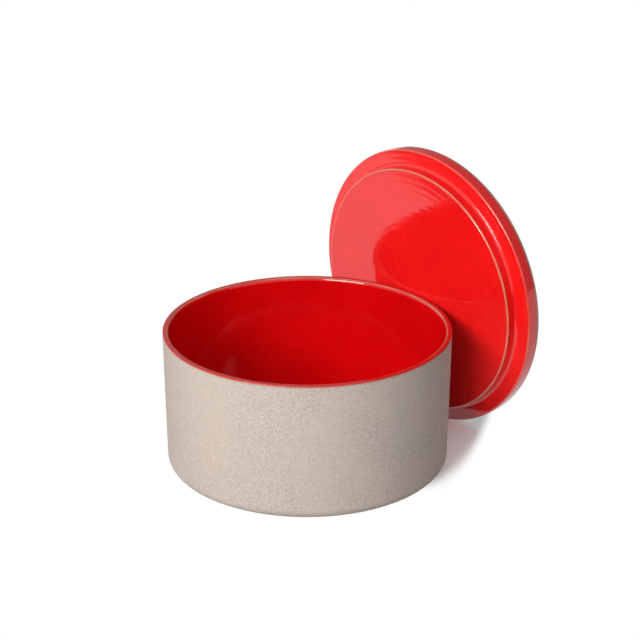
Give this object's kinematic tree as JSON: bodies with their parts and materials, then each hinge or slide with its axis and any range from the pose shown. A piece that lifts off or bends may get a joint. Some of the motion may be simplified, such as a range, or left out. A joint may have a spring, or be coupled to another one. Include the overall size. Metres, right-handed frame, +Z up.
{
  "type": "lidded bowl",
  "caption": "Straight-sided stoneware bowl with a glazed inside and a thick disc lid, shown lifted off and leaning on the rim.",
  "frame": {"origin": "middle of the bowl's underside, on the surface that it stands on", "axes": "+Z up along the bowl's axis, +X to the right and +Y away from the viewer of the picture"},
  "size_m": [0.1876, 0.1816, 0.1471],
  "materials": {
    "clay": "matte",
    "glaze": "gloss"
  },
  "bodies": {
    "bowl": {"bowl_body": "clay", "bowl_glaze": "glaze"},
    "lid": {"lid_body": "clay", "lid_glaze": "glaze"}
  },
  "joints": [
    {"name": "lid_lift", "type": "slide", "parent": "bowl", "child": "lid", "axis": [0, 0, 1], "range_m": [0, 0.15]}
  ]
}
